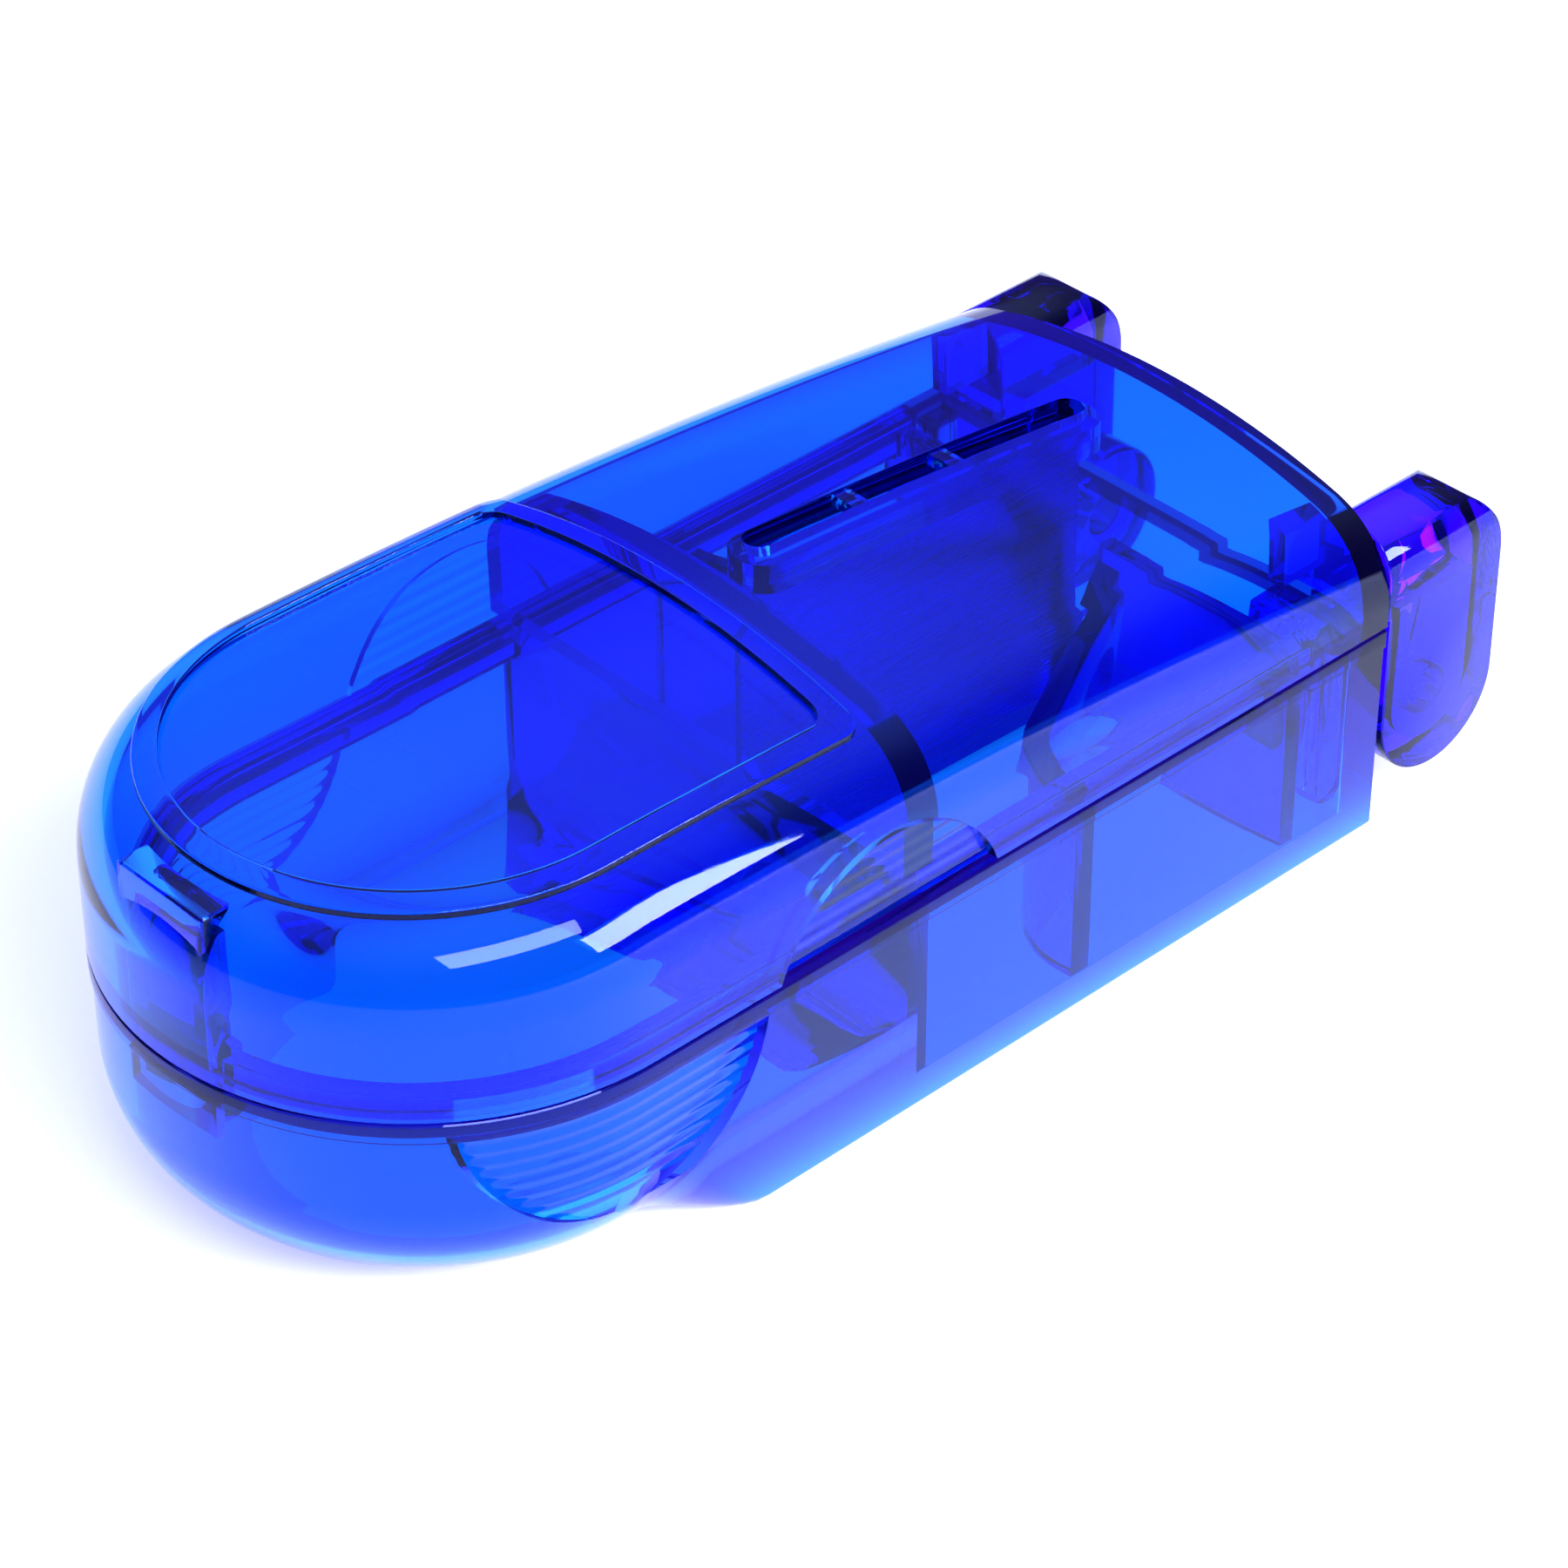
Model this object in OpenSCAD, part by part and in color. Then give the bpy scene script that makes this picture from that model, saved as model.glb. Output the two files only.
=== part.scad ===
// Pill splitter: a two-shell plastic case, rounded at the front, with a hinged lid.
// The lid carries a steel blade that comes down between two V jaws in the rear chamber.
// The front of the case is a storage compartment.
// Millimetres. X is the width, the front is -Y and +Z is up. The case stands on Z = 0.

/* [Case] */
// Width of the case at the parting line
case_w = 36; // [34:0.5:40]
// Length of the case without the hinge ears
case_len = 74; // [70:1:80]
// Height of the base rim above the table
rim_z = 14; // [13:0.5:15]
// Height of the narrow rim band round the top of the base
rim_band_h = 1.2; // [0.8:0.1:2]
// How far the base wall stands in from the rim band
rim_step = 0.15; // [0.1:0.05:0.4]
// Wall thickness of the base
base_wall = 1.8; // [1.5:0.1:2]
// Thickness of the base floor
floor_t = 1.6; // [1.2:0.1:2]
// Radius of the bottom edge round the front of the base
bow_r = 8; // [6:0.5:8]
// Radius of the long bottom edges at the rear of the base
heel_r = 0.5; // [0.4:0.1:1.5]
// Length over which the bottom edge's radius runs out behind the nose
bow_run = 8; // [5:1:14]

/* [Lid] */
// Height of the lid at its highest point
lid_peak_z = 27; // [26:0.5:28]
// Wall thickness of the lid
lid_wall = 1.5; // [1.2:0.1:1.8]
// Radius of the lid's crown across its width
crown_r = 50; // [45:1:60]
// Radius of the lid's shoulder
shoulder_r = 6; // [5:0.5:7]
// Radius of the lid's arch along its length
arch_r = 404; // [380:2:500]
// Gap between the closed lid and the base rim
lid_gap = 0.2; // [0.1:0.05:0.3]

/* [Compartment] */
// Distance of the partition from the middle of the object, towards the front
partition_y = 4.3; // [2:0.1:8]
// Thickness of the base's partition
partition_t = 1.5; // [1.2:0.1:2]
// Thickness of the lid's partition
lid_partition_t = 2.2; // [1.5:0.1:2.5]
// Radius between the compartment's walls and its floor
bowl_r = 5; // [4:0.5:6]

/* [Tablet holder] */
// Half the angle between the two V jaws
jaw_half_angle = 30; // [25:1:35]
// Thickness of a jaw
jaw_t = 1.5; // [1:0.1:2]
// Radius where a jaw turns out to the side wall
jaw_flare_r = 5; // [4:0.5:6]
// Width of the gap that the blade passes through
blade_gap_w = 3.2; // [2:0.1:4]

/* [Blade] */
// Thickness of the blade
blade_t = 0.5; // [0.3:0.05:0.8]
// Length of the blade
blade_len = 25.3; // [20:0.1:26]
// Height of the cutting edge above the table with the lid shut
blade_edge_z = 2; // [1.8:0.1:4]
// Width of each ground bevel
bevel_h = 2.4; // [1:0.1:4]

/* [Hinge] */
// Distance from the rear of the case to the hinge axis
hinge_back = 5.1; // [5:0.1:6]
// Height of the hinge axis
hinge_z = 7; // [6:0.1:8]
// Thickness of a hinge ear across the object
ear_w = 5.8; // [5:0.1:7]
// Radius of a hinge pin
pin_r = 1.6; // [1.2:0.1:2]
// Radial clearance of a pin in its knuckle
pin_clear = 0.08; // [0.05:0.01:0.1]

/* [Finger scoops] */
// Depth of a finger scoop
scoop_d = 0.7; // [0.4:0.1:0.8]
// Distance between two grip ribs
rib_pitch = 0.85; // [0.8:0.05:1.2]
// Thickness of a grip rib
rib_t = 0.4; // [0.3:0.05:0.5]
// Height of a grip rib above the scoop's face
rib_h = 0.25; // [0.15:0.05:0.3]

/* [Hidden] */
$fn = 96;
eps = 0.01;
half_w = case_w / 2;
ear_reach = hinge_back + 4.9;
overall_len = case_len + ear_reach;
front_y = -overall_len / 2;
rear_y = front_y + case_len;
nose_y = front_y + half_w;
part_y = -partition_y;

base_half = half_w - rim_step;
base_in = base_half - base_wall;
base_rear_in = rear_y - base_wall;

lid_z = rim_z + lid_gap;
lid_half_in = half_w - lid_wall;
shoulder_x = half_w - shoulder_r;
shoulder_z = lid_peak_z - crown_r
    + sqrt(pow(crown_r - shoulder_r, 2) - pow(shoulder_x, 2));
arch_z = lid_peak_z - arch_r;

lip_h = 1;
lip_z = rim_z + lip_h;
lip_root_z = rim_z - 1.4;
lip_out = lid_half_in - 0.3;
lip_in = base_in - 1;
lip_rear_y = 27;

bulkhead_t = 1.2;
bulkhead_y = 25;
bulkhead_z = 14.6;
blade_slot_z = 3;
jaw_z = rim_z - 0.4;
jaw_len = 16.2;

tongue_w = 5.8;
tongue_t = 1.6;
tongue_tip_z = 10.5;
tongue_top_z = 22;
tongue_clear = 0.3;
catch_depth = 0.5;

pad_w = 7;
pad_in = 0.9;
pad_depth = 2.4;
pad_z = 24.2;

slot_w = 1.9;
slot_len = 26;
slot_mid_y = 12.1;
carrier_w = 3.6;
carrier_h = 1.8;
spine_drop = 1;
blade_y = slot_mid_y - blade_len / 2;

pin_y = rear_y + hinge_back;
ear_r = hinge_back - 0.3;
ear_top_z = 19.9;
ear_wall = 1.8;
ear_hollow_z = 14.2;
ear_crest_r = ear_w / 2;
ear_x = half_w - ear_w;
knuckle_w = 4;
knuckle_gap = 0.3;
knuckle_r = 4.2;
knuckle_x = ear_x - knuckle_gap - knuckle_w;

land_h = 0.35;
land_out = half_w - 3.2;
land_w = 1.4;
land_rear_y = part_y - 2;

base_scoop_y = -25.2;
base_scoop_z = rim_z;
base_scoop_r = 9.3;
lid_scoop_y = -7.3;
lid_scoop_z = 11.4;
lid_scoop_r = 8.4;
base_ribs = 8;
lid_ribs = 6;

gusset_t = 1.3;
gusset_len = 2.4;

clear_blue = [0.16, 0.36, 0.95, 0.55];
dark_blue = [0.10, 0.12, 0.75, 0.70];
steel = [0.62, 0.66, 0.74];

// ---------- helpers ----------

// Half-round front with straight sides: a letter D seen from above.
module plan(r, back_y) {
    translate([0, nose_y]) circle(r = r);
    translate([-r, nose_y]) square([2 * r, back_y - nose_y]);
}

// The plan shape as a block between two heights.
module plan_block(r, back_y, z0, z1) {
    translate([0, 0, z0]) linear_extrude(z1 - z0) plan(r, back_y);
}

// Everything between two heights.
module slab(z0, z1) {
    translate([-100, -100, z0]) cube([200, 200, z1 - z0]);
}

// Everything between two planes across the object.
module cross_slab(y0, y1, z0 = -50, z1 = 60) {
    translate([-100, y0, z0]) cube([200, y1 - y0, z1 - z0]);
}

// One copy on the right (side = 1) or its mirror image on the left (side = -1).
module on_side(side) {
    mirror([side > 0 ? 0 : 1, 0, 0]) children();
}

// A 2D outline in the YZ plane, given thickness along +X from x0.
module along_x(x0, width) {
    translate([x0, 0, 0]) rotate([90, 0, 90]) linear_extrude(width) children();
}

// ---------- base ----------

// Half of the base's section at the nose: a flat floor, a large bottom radius, an upright side.
module bow_profile(r, corner, z0, z1) {
    square_w = r - corner;
    translate([0, z0]) square([square_w, z1 - z0]);
    translate([0, z0 + corner]) square([r, z1 - z0 - corner]);
    translate([square_w, z0 + corner]) intersection() {
        circle(r = corner);
        translate([0, -corner]) square([corner, corner + eps]);
    }
}

// Outside of the base under the rim: the nose's large radius runs out along the sides.
module base_outer() {
    hull() {
        translate([0, nose_y, 0]) rotate_extrude($fn = 72)
            bow_profile(base_half, bow_r, 0, rim_z - rim_band_h);
        for (x = [-1, 1]) {
            translate([x * (base_half - heel_r), nose_y + bow_run, heel_r]) rotate([-90, 0, 0])
                cylinder(r = heel_r, h = rear_y - nose_y - bow_run, $fn = 24);
        }
        translate([-base_half, nose_y + bow_run, heel_r])
            cube([2 * base_half, rear_y - nose_y - bow_run, rim_z - rim_band_h - heel_r]);
    }
}

// Front half of the case as a solid: the bow profile round the nose and along both sides.
module bow_solid(r, corner, z0, z1) {
    translate([0, nose_y, 0]) rotate([0, 0, 180]) rotate_extrude(angle = 180)
        bow_profile(r, corner, z0, z1);
    translate([0, part_y, 0]) rotate([90, 0, 0]) linear_extrude(part_y - nose_y) {
        bow_profile(r, corner, z0, z1);
        mirror([1, 0]) bow_profile(r, corner, z0, z1);
    }
}

// Space inside the base in front of the partition, rounded into its floor.
module compartment_space() {
    bow_solid(base_in, bowl_r, floor_t, rim_z + 5);
}

// Space inside the base behind the partition.
module chamber_space() {
    translate([-base_in, part_y, floor_t])
        cube([2 * base_in, base_rear_in - part_y, rim_z + 5]);
}

// Round scoop of radius r in both side walls: everything further out than the wall less its depth.
module scoop_ring(y, z, r, outer_half, depth) {
    difference() {
        translate([-half_w - 2, y, z]) rotate([0, 90, 0]) cylinder(r = r, h = case_w + 4);
        plan_block(outer_half - depth, rear_y, -1, lid_peak_z + 1);
    }
}

// The half of space on one side of the middle.
module side_space(side) {
    on_side(side) translate([2, -100, -50]) cube([100, 200, 110]);
}

// Evenly spaced level slabs, which shape the grip ribs.
module rib_slabs(z0, count) {
    for (i = [0 : count - 1]) slab(z0 + i * rib_pitch, z0 + i * rib_pitch + rib_t);
}

module base_scoop(depth) {
    intersection() {
        scoop_ring(base_scoop_y, base_scoop_z, base_scoop_r, base_half, depth);
        slab(0, rim_z - rim_band_h);
    }
}

module base_shell() {
    color(clear_blue) difference() {
        union() {
            base_outer();
            plan_block(half_w, rear_y, rim_z - rim_band_h, rim_z);
        }
        compartment_space();
        chamber_space();
        base_scoop(scoop_d);
        // shallow recess that takes the end of the latch tongue
        translate([-tongue_w / 2 - 0.4, front_y + rim_step + base_wall - catch_depth, tongue_tip_z - 0.5])
            cube([tongue_w + 0.8, 3, 2.2]);
        // groove in the floor under the cutting edge
        translate([-0.6, blade_y - 0.6, floor_t - 0.5])
            cube([1.2, blade_len + 0.8, 1]);
    }
}

// Lip inside the rim that centres the closed lid.
module lip_ring() {
    difference() {
        union() {
            plan_block(base_in, lip_rear_y, lip_root_z, rim_z);
            plan_block(lip_out, lip_rear_y, rim_z, lip_z);
        }
        plan_block(lip_in, lip_rear_y + 1, lip_root_z - 1, lip_z + 1);
    }
}

module locating_lip() {
    color(dark_blue) difference() {
        lip_ring();
        // gap for the latch tongue
        translate([-tongue_w / 2 - 0.4, front_y - 1, lip_root_z - 1])
            cube([tongue_w + 0.8, 6, lip_h + 4]);
    }
}

// Upright wall behind the compartment, with a curved foot on the compartment's side.
module compartment_partition() {
    foot_r = bowl_r - 0.5;
    front_face = part_y - partition_t / 2;
    color(clear_blue) difference() {
        intersection() {
            union() {
                translate([-base_in, front_face, floor_t])
                    cube([2 * base_in, partition_t, lip_z - floor_t]);
                difference() {
                    translate([-base_in, front_face - foot_r, floor_t])
                        cube([2 * base_in, foot_r, foot_r]);
                    translate([-base_in - 1, front_face - foot_r, floor_t + foot_r])
                        rotate([0, 90, 0]) cylinder(r = foot_r, h = case_w);
                }
            }
            union() {
                compartment_space();
                chamber_space();
            }
        }
        lip_ring();
    }
}

// Wall across the rear of the cutting chamber, open in the middle for the blade.
module rear_bulkhead() {
    color(clear_blue) difference() {
        translate([-base_in, bulkhead_y, floor_t])
            cube([2 * base_in, bulkhead_t, bulkhead_z - floor_t]);
        translate([-blade_gap_w / 2, bulkhead_y - 1, blade_slot_z])
            cube([blade_gap_w, bulkhead_t + 2, rim_z]);
        lip_ring();
    }
}

// Plan of the right jaw: a straight arm from the blade gap, then a bend out to the wall.
module jaw_plan() {
    start_x = blade_gap_w / 2 + jaw_t / 2 + 0.2;
    bend_x = start_x + jaw_len * sin(jaw_half_angle);
    bend_y = bulkhead_y - jaw_len * cos(jaw_half_angle);
    centre_x = bend_x + jaw_flare_r * cos(jaw_half_angle);
    centre_y = bend_y + jaw_flare_r * sin(jaw_half_angle);
    intersection() {
        union() {
            translate([start_x, bulkhead_y]) rotate(jaw_half_angle)
                translate([-jaw_t / 2, -jaw_len]) square([jaw_t, jaw_len + 2]);
            intersection() {
                translate([centre_x, centre_y]) difference() {
                    circle(r = jaw_flare_r + jaw_t / 2);
                    circle(r = jaw_flare_r - jaw_t / 2);
                }
                polygon([
                    [centre_x, centre_y],
                    [centre_x - 20 * cos(jaw_half_angle), centre_y - 20 * sin(jaw_half_angle)],
                    [centre_x - 20, centre_y - 40],
                    [centre_x, centre_y - 20]
                ]);
            }
            translate([centre_x - eps, centre_y - jaw_flare_r - jaw_t / 2])
                square([base_in - centre_x + 1, jaw_t]);
        }
        translate([blade_gap_w / 2, 0]) square([base_in - blade_gap_w / 2, bulkhead_y]);
    }
}

module jaw(side) {
    color(dark_blue) on_side(side) difference() {
        translate([0, 0, floor_t]) linear_extrude(jaw_z - floor_t) jaw_plan();
        lip_ring();
    }
}

module base_grip(side) {
    color(dark_blue) intersection() {
        plan_block(base_half - scoop_d + rib_h, rear_y, 0, rim_z);
        base_scoop(scoop_d);
        side_space(side);
        rib_slabs(rim_z - rim_band_h - base_ribs * rib_pitch, base_ribs);
    }
}

// Rib that stiffens a rear corner of the base.
module corner_gusset(side) {
    color(clear_blue) on_side(side) along_x(base_in - gusset_t, gusset_t) {
        translate([base_rear_in - gusset_len, 4]) square([gusset_len, rim_z - 4.2]);
        translate([base_rear_in - gusset_len / 2, 4]) circle(r = gusset_len / 2);
    }
}

module knuckle(side) {
    color(dark_blue) on_side(side) difference() {
        along_x(knuckle_x, knuckle_w) {
            translate([pin_y, hinge_z]) circle(r = knuckle_r);
            translate([rear_y, hinge_z - knuckle_r]) square([hinge_back, 2 * knuckle_r]);
        }
        translate([knuckle_x - 1, pin_y, hinge_z]) rotate([0, 90, 0])
            cylinder(r = pin_r + pin_clear, h = knuckle_w + 2);
    }
}

// ---------- lid ----------

// Right half of the lid's section, moved in by off: crown, shoulder and upright side.
module lid_profile(off) {
    meet_x = shoulder_x * (crown_r - off) / (crown_r - shoulder_r);
    bottom = 5;
    intersection() {
        translate([0, lid_peak_z - crown_r]) circle(r = crown_r - off, $fn = 360);
        translate([0, bottom]) square([meet_x, 60]);
    }
    translate([shoulder_x, shoulder_z]) circle(r = shoulder_r - off);
    translate([0, bottom]) square([half_w - off, shoulder_z - bottom]);
}

// Solid lid moved in by off, with the crown round the nose and the arch behind it.
module lid_solid(off) {
    intersection() {
        union() {
            translate([0, nose_y, 0]) rotate([0, 0, 180])
                rotate_extrude(angle = 180) lid_profile(off);
            translate([0, nose_y, arch_z]) rotate([0, -90, 0])
                rotate_extrude(angle = 10, $fn = 720) translate([-arch_z, 0]) rotate(-90) {
                    lid_profile(off);
                    mirror([1, 0]) lid_profile(off);
                }
        }
        cross_slab(-100, rear_y - max(off, 0), lid_z - (off > 0 ? 5 : 0));
    }
}

// Rounded slot along the middle of the lid's top.
module slot_block(width, length, z0, z1) {
    reach = (length - width) / 2;
    translate([0, slot_mid_y, z0]) linear_extrude(z1 - z0) {
        translate([0, -reach]) circle(d = width);
        translate([0, reach]) circle(d = width);
        square([width, 2 * reach], center = true);
    }
}

module lid_scoop(depth) {
    intersection() {
        scoop_ring(lid_scoop_y, lid_scoop_z, lid_scoop_r, half_w, depth);
        slab(lid_z - 1, lid_peak_z);
    }
}

module lid_shell() {
    color(clear_blue) difference() {
        union() {
            lid_solid(0);
            // raised pad over the latch, with a flat top that breaks through the shoulder
            translate([-pad_w / 2, front_y + pad_in, pad_z - 4])
                cube([pad_w, pad_depth, 4]);
        }
        lid_solid(lid_wall);
        slot_block(slot_w, slot_len, shoulder_z, lid_peak_z + 2);
        lid_scoop(scoop_d);
    }
}

module lid_partition() {
    color(dark_blue) intersection() {
        lid_solid(lid_wall);
        cross_slab(part_y - lid_partition_t / 2, part_y + lid_partition_t / 2, lip_z + 0.3);
    }
}

// Low raised land that frames the window over the compartment.
module window_land() {
    color(clear_blue) difference() {
        intersection() {
            lid_solid(-land_h);
            difference() {
                plan_block(land_out, land_rear_y, shoulder_z, lid_peak_z + 2);
                plan_block(land_out - land_w, land_rear_y - land_w, 0, lid_peak_z + 3);
            }
        }
        lid_solid(0);
    }
}

// Tongue inside the front of the lid, which reaches down behind the base's front wall.
module latch_tongue() {
    inner_y = front_y + lid_wall;
    low_y = front_y + rim_step + base_wall + tongue_clear;
    back_y = inner_y + tongue_t;
    color(dark_blue) {
        intersection() {
            lid_solid(lid_wall);
            translate([-tongue_w / 2, inner_y - 1, lid_z])
                cube([tongue_w, tongue_t + 1, tongue_top_z - lid_z]);
        }
        translate([-tongue_w / 2, low_y, tongue_tip_z])
            cube([tongue_w, back_y + 0.6 - low_y, lid_z - tongue_tip_z + 0.8]);
    }
}

module lid_grip(side) {
    color(dark_blue) intersection() {
        plan_block(half_w - scoop_d + rib_h, rear_y, lid_z, shoulder_z);
        lid_scoop(scoop_d);
        side_space(side);
        rib_slabs(lid_z + 0.3, lid_ribs);
    }
}

// Rib under the lid's top at a rear corner, above the hinge ear.
module lid_rib(side) {
    color(dark_blue) on_side(side) intersection() {
        lid_solid(lid_wall);
        translate([12.6, rear_y - lid_wall - 3.5, 17]) cube([1.2, 3.5, 12]);
    }
}

// Side outline of an ear: round below and at its rear top, square where it joins the lid.
module ear_outline() {
    for (z = [hinge_z, ear_top_z - ear_r]) translate([pin_y, z]) circle(r = ear_r);
    translate([pin_y - ear_r, hinge_z]) square([2 * ear_r, ear_top_z - ear_r - hinge_z]);
    translate([pin_y - ear_r, hinge_z]) square([ear_r, ear_top_z - hinge_z]);
}

// An ear's outline from behind: upright sides under a half-round crest.
module ear_section() {
    crest_x = ear_x + ear_crest_r;
    crest_z = ear_top_z - ear_crest_r;
    translate([crest_x, crest_z]) circle(r = ear_crest_r);
    translate([ear_x, 0]) square([ear_w, crest_z]);
}

// Ear behind a rear corner of the lid: solid above, hollow below and open on its inner side.
module hinge_ear(side) {
    hollow_r = ear_r - ear_wall;
    color(clear_blue) on_side(side) difference() {
        intersection() {
            union() {
                along_x(ear_x, ear_w) ear_outline();
                translate([ear_x, rear_y, lid_z + 0.2])
                    cube([ear_w, 1, ear_top_z - lid_z - 0.2]);
            }
            translate([0, rear_y + 20, 0]) rotate([90, 0, 0])
                linear_extrude(20) ear_section();
        }
        along_x(ear_x - 1, ear_w - ear_wall + 1) {
            translate([pin_y, hinge_z]) circle(r = hollow_r);
            translate([pin_y - hollow_r, hinge_z])
                square([2 * hollow_r, ear_hollow_z - hinge_z]);
        }
    }
}

module hinge_pin(side) {
    end_x = half_w - ear_wall;
    color(dark_blue) on_side(side) translate([knuckle_x + 0.4, pin_y, hinge_z])
        rotate([0, 90, 0]) cylinder(r = pin_r, h = end_x - knuckle_x - 0.4);
}

// ---------- blade ----------

// Height of the lid's top surface on the centre line.
function top_z(y) = arch_z + sqrt(arch_r * arch_r - pow(y - nose_y, 2));

// Side outline of the blade.
module blade_outline(grow = 0) {
    polygon([
        [blade_y, blade_edge_z - grow],
        [blade_y, top_z(blade_y) - spine_drop],
        [blade_y + blade_len, top_z(blade_y + blade_len) - spine_drop],
        [blade_y + blade_len, blade_edge_z - grow]
    ]);
}

module blade() {
    color(steel) difference() {
        along_x(-blade_t / 2, blade_t) blade_outline();
        for (side = [-1, 1]) on_side(side) {
            translate([0.04, blade_y - 1, blade_edge_z])
                rotate([0, atan((blade_t / 2 - 0.04) / bevel_h), 0])
                translate([0, 0, -2]) cube([2, blade_len + 2, bevel_h + 2]);
        }
    }
}

// Two rails under the slot that hold the blade between them.
module blade_carrier() {
    color(dark_blue) difference() {
        intersection() {
            lid_solid(lid_wall);
            slot_block(carrier_w, slot_len + 1.6, shoulder_z, lid_peak_z);
        }
        lid_solid(lid_wall + carrier_h);
        along_x(-blade_t / 2, blade_t) blade_outline();
    }
}

// Two bridges across the slot above the blade's spine.
module blade_clips() {
    color(dark_blue) intersection() {
        slot_block(slot_w, slot_len, shoulder_z, lid_peak_z);
        difference() {
            lid_solid(0.1);
            lid_solid(0.9);
        }
        for (y = [7, 14.4]) cross_slab(y - 0.6, y + 0.6);
    }
}

base_shell();
locating_lip();
compartment_partition();
rear_bulkhead();
jaw(-1);  // jaw_left
jaw(1);  // jaw_right
base_grip(-1);  // base_grip_left
base_grip(1);  // base_grip_right
corner_gusset(-1);  // corner_gusset_left
corner_gusset(1);  // corner_gusset_right
knuckle(-1);  // knuckle_left
knuckle(1);  // knuckle_right
lid_shell();
lid_partition();
window_land();
latch_tongue();
lid_grip(-1);  // lid_grip_left
lid_grip(1);  // lid_grip_right
lid_rib(-1);  // lid_rib_left
lid_rib(1);  // lid_rib_right
hinge_ear(-1);  // hinge_ear_left
hinge_ear(1);  // hinge_ear_right
hinge_pin(-1);  // hinge_pin_left
hinge_pin(1);  // hinge_pin_right
blade_carrier();
blade_clips();
blade();
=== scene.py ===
"""Pill splitter in transparent blue plastic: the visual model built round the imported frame.

Every length is in millimetres until it becomes a mesh; the meshes themselves are in metres.
X is the width, the rounded front points to -Y and the hinge is at +Y.
"""

import logging
import math
from dataclasses import dataclass, field
from enum import Enum
from typing import Iterable, Sequence

import bmesh
import bpy
from mathutils import Matrix, Vector

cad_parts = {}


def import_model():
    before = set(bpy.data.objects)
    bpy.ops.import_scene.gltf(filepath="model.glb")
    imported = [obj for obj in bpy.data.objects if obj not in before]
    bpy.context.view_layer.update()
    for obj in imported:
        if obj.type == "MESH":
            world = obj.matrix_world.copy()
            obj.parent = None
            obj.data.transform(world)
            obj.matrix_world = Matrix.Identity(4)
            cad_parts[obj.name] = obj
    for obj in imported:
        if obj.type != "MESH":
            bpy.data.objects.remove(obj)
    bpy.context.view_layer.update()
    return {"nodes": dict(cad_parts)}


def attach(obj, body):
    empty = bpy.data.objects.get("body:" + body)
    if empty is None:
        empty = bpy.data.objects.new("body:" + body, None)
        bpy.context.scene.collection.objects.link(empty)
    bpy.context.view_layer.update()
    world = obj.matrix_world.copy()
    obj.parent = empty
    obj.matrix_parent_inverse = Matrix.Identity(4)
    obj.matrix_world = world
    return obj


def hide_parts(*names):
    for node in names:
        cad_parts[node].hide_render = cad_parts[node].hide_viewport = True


LOG = logging.getLogger("pill_splitter")
MM = 0.001

# A hairline of air between neighbouring mouldings, so that no two clear faces lie in one plane.
AIR = 0.02

# Points closer than this, in millimetres, are one point.
SAME = 1e-4

# Steps of the half turn round the nose, and of a quarter round in a section.
NOSE_STEPS = 72
QUARTER_STEPS = 12

# How far a cutting tool reaches past the face that it opens.
PAST = 5.0


class Body(Enum):
    """The two bodies that move against each other."""

    BASE = "base"
    LID = "lid"


class Slot(Enum):
    """Material slots of the record."""

    CLEAR = "clear_blue"
    # The record's deep_blue slot gets a darker copy of the clear plastic: painted shade on thick
    # parts.
    SHADED = "deep_blue"
    STEEL = "blade_steel"


class Cut(Enum):
    """What a boolean does with its tool."""

    AWAY = "DIFFERENCE"
    JOIN = "UNION"
    KEEP = "INTERSECT"


# ---------------------------------------------------------------- colour and nodes


def linear(hex_colour: str) -> tuple[float, float, float, float]:
    """Turns an sRGB hex colour into linear light.

    Args:
        hex_colour: Six hex digits, with or without a leading hash sign.

    Returns:
        Red, green, blue and an alpha of 1.
    """
    digits = hex_colour.lstrip("#")
    channels = [int(digits[i : i + 2], 16) / 255 for i in (0, 2, 4)]
    light = [c / 12.92 if c <= 0.04045 else ((c + 0.055) / 1.055) ** 2.4 for c in channels]
    return (light[0], light[1], light[2], 1.0)


def add_node(
    tree: bpy.types.NodeTree,
    kind: str,
    settings: dict | None = None,
    inputs: dict | None = None,
    links: dict | None = None,
) -> bpy.types.Node:
    """Adds one shader node with its settings, input values and incoming links.

    Args:
        tree: The node tree that gets the node.
        kind: The node's Blender type name.
        settings: Attributes to set on the node.
        inputs: Input values by socket name or number.
        links: Output sockets to link, by input socket name or number.

    Returns:
        The new node.
    """
    node = tree.nodes.new(kind)
    for name, value in (settings or {}).items():
        setattr(node, name, value)
    for name, value in (inputs or {}).items():
        node.inputs[name].default_value = value
    for name, source in (links or {}).items():
        tree.links.new(source, node.inputs[name])
    return node


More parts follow.
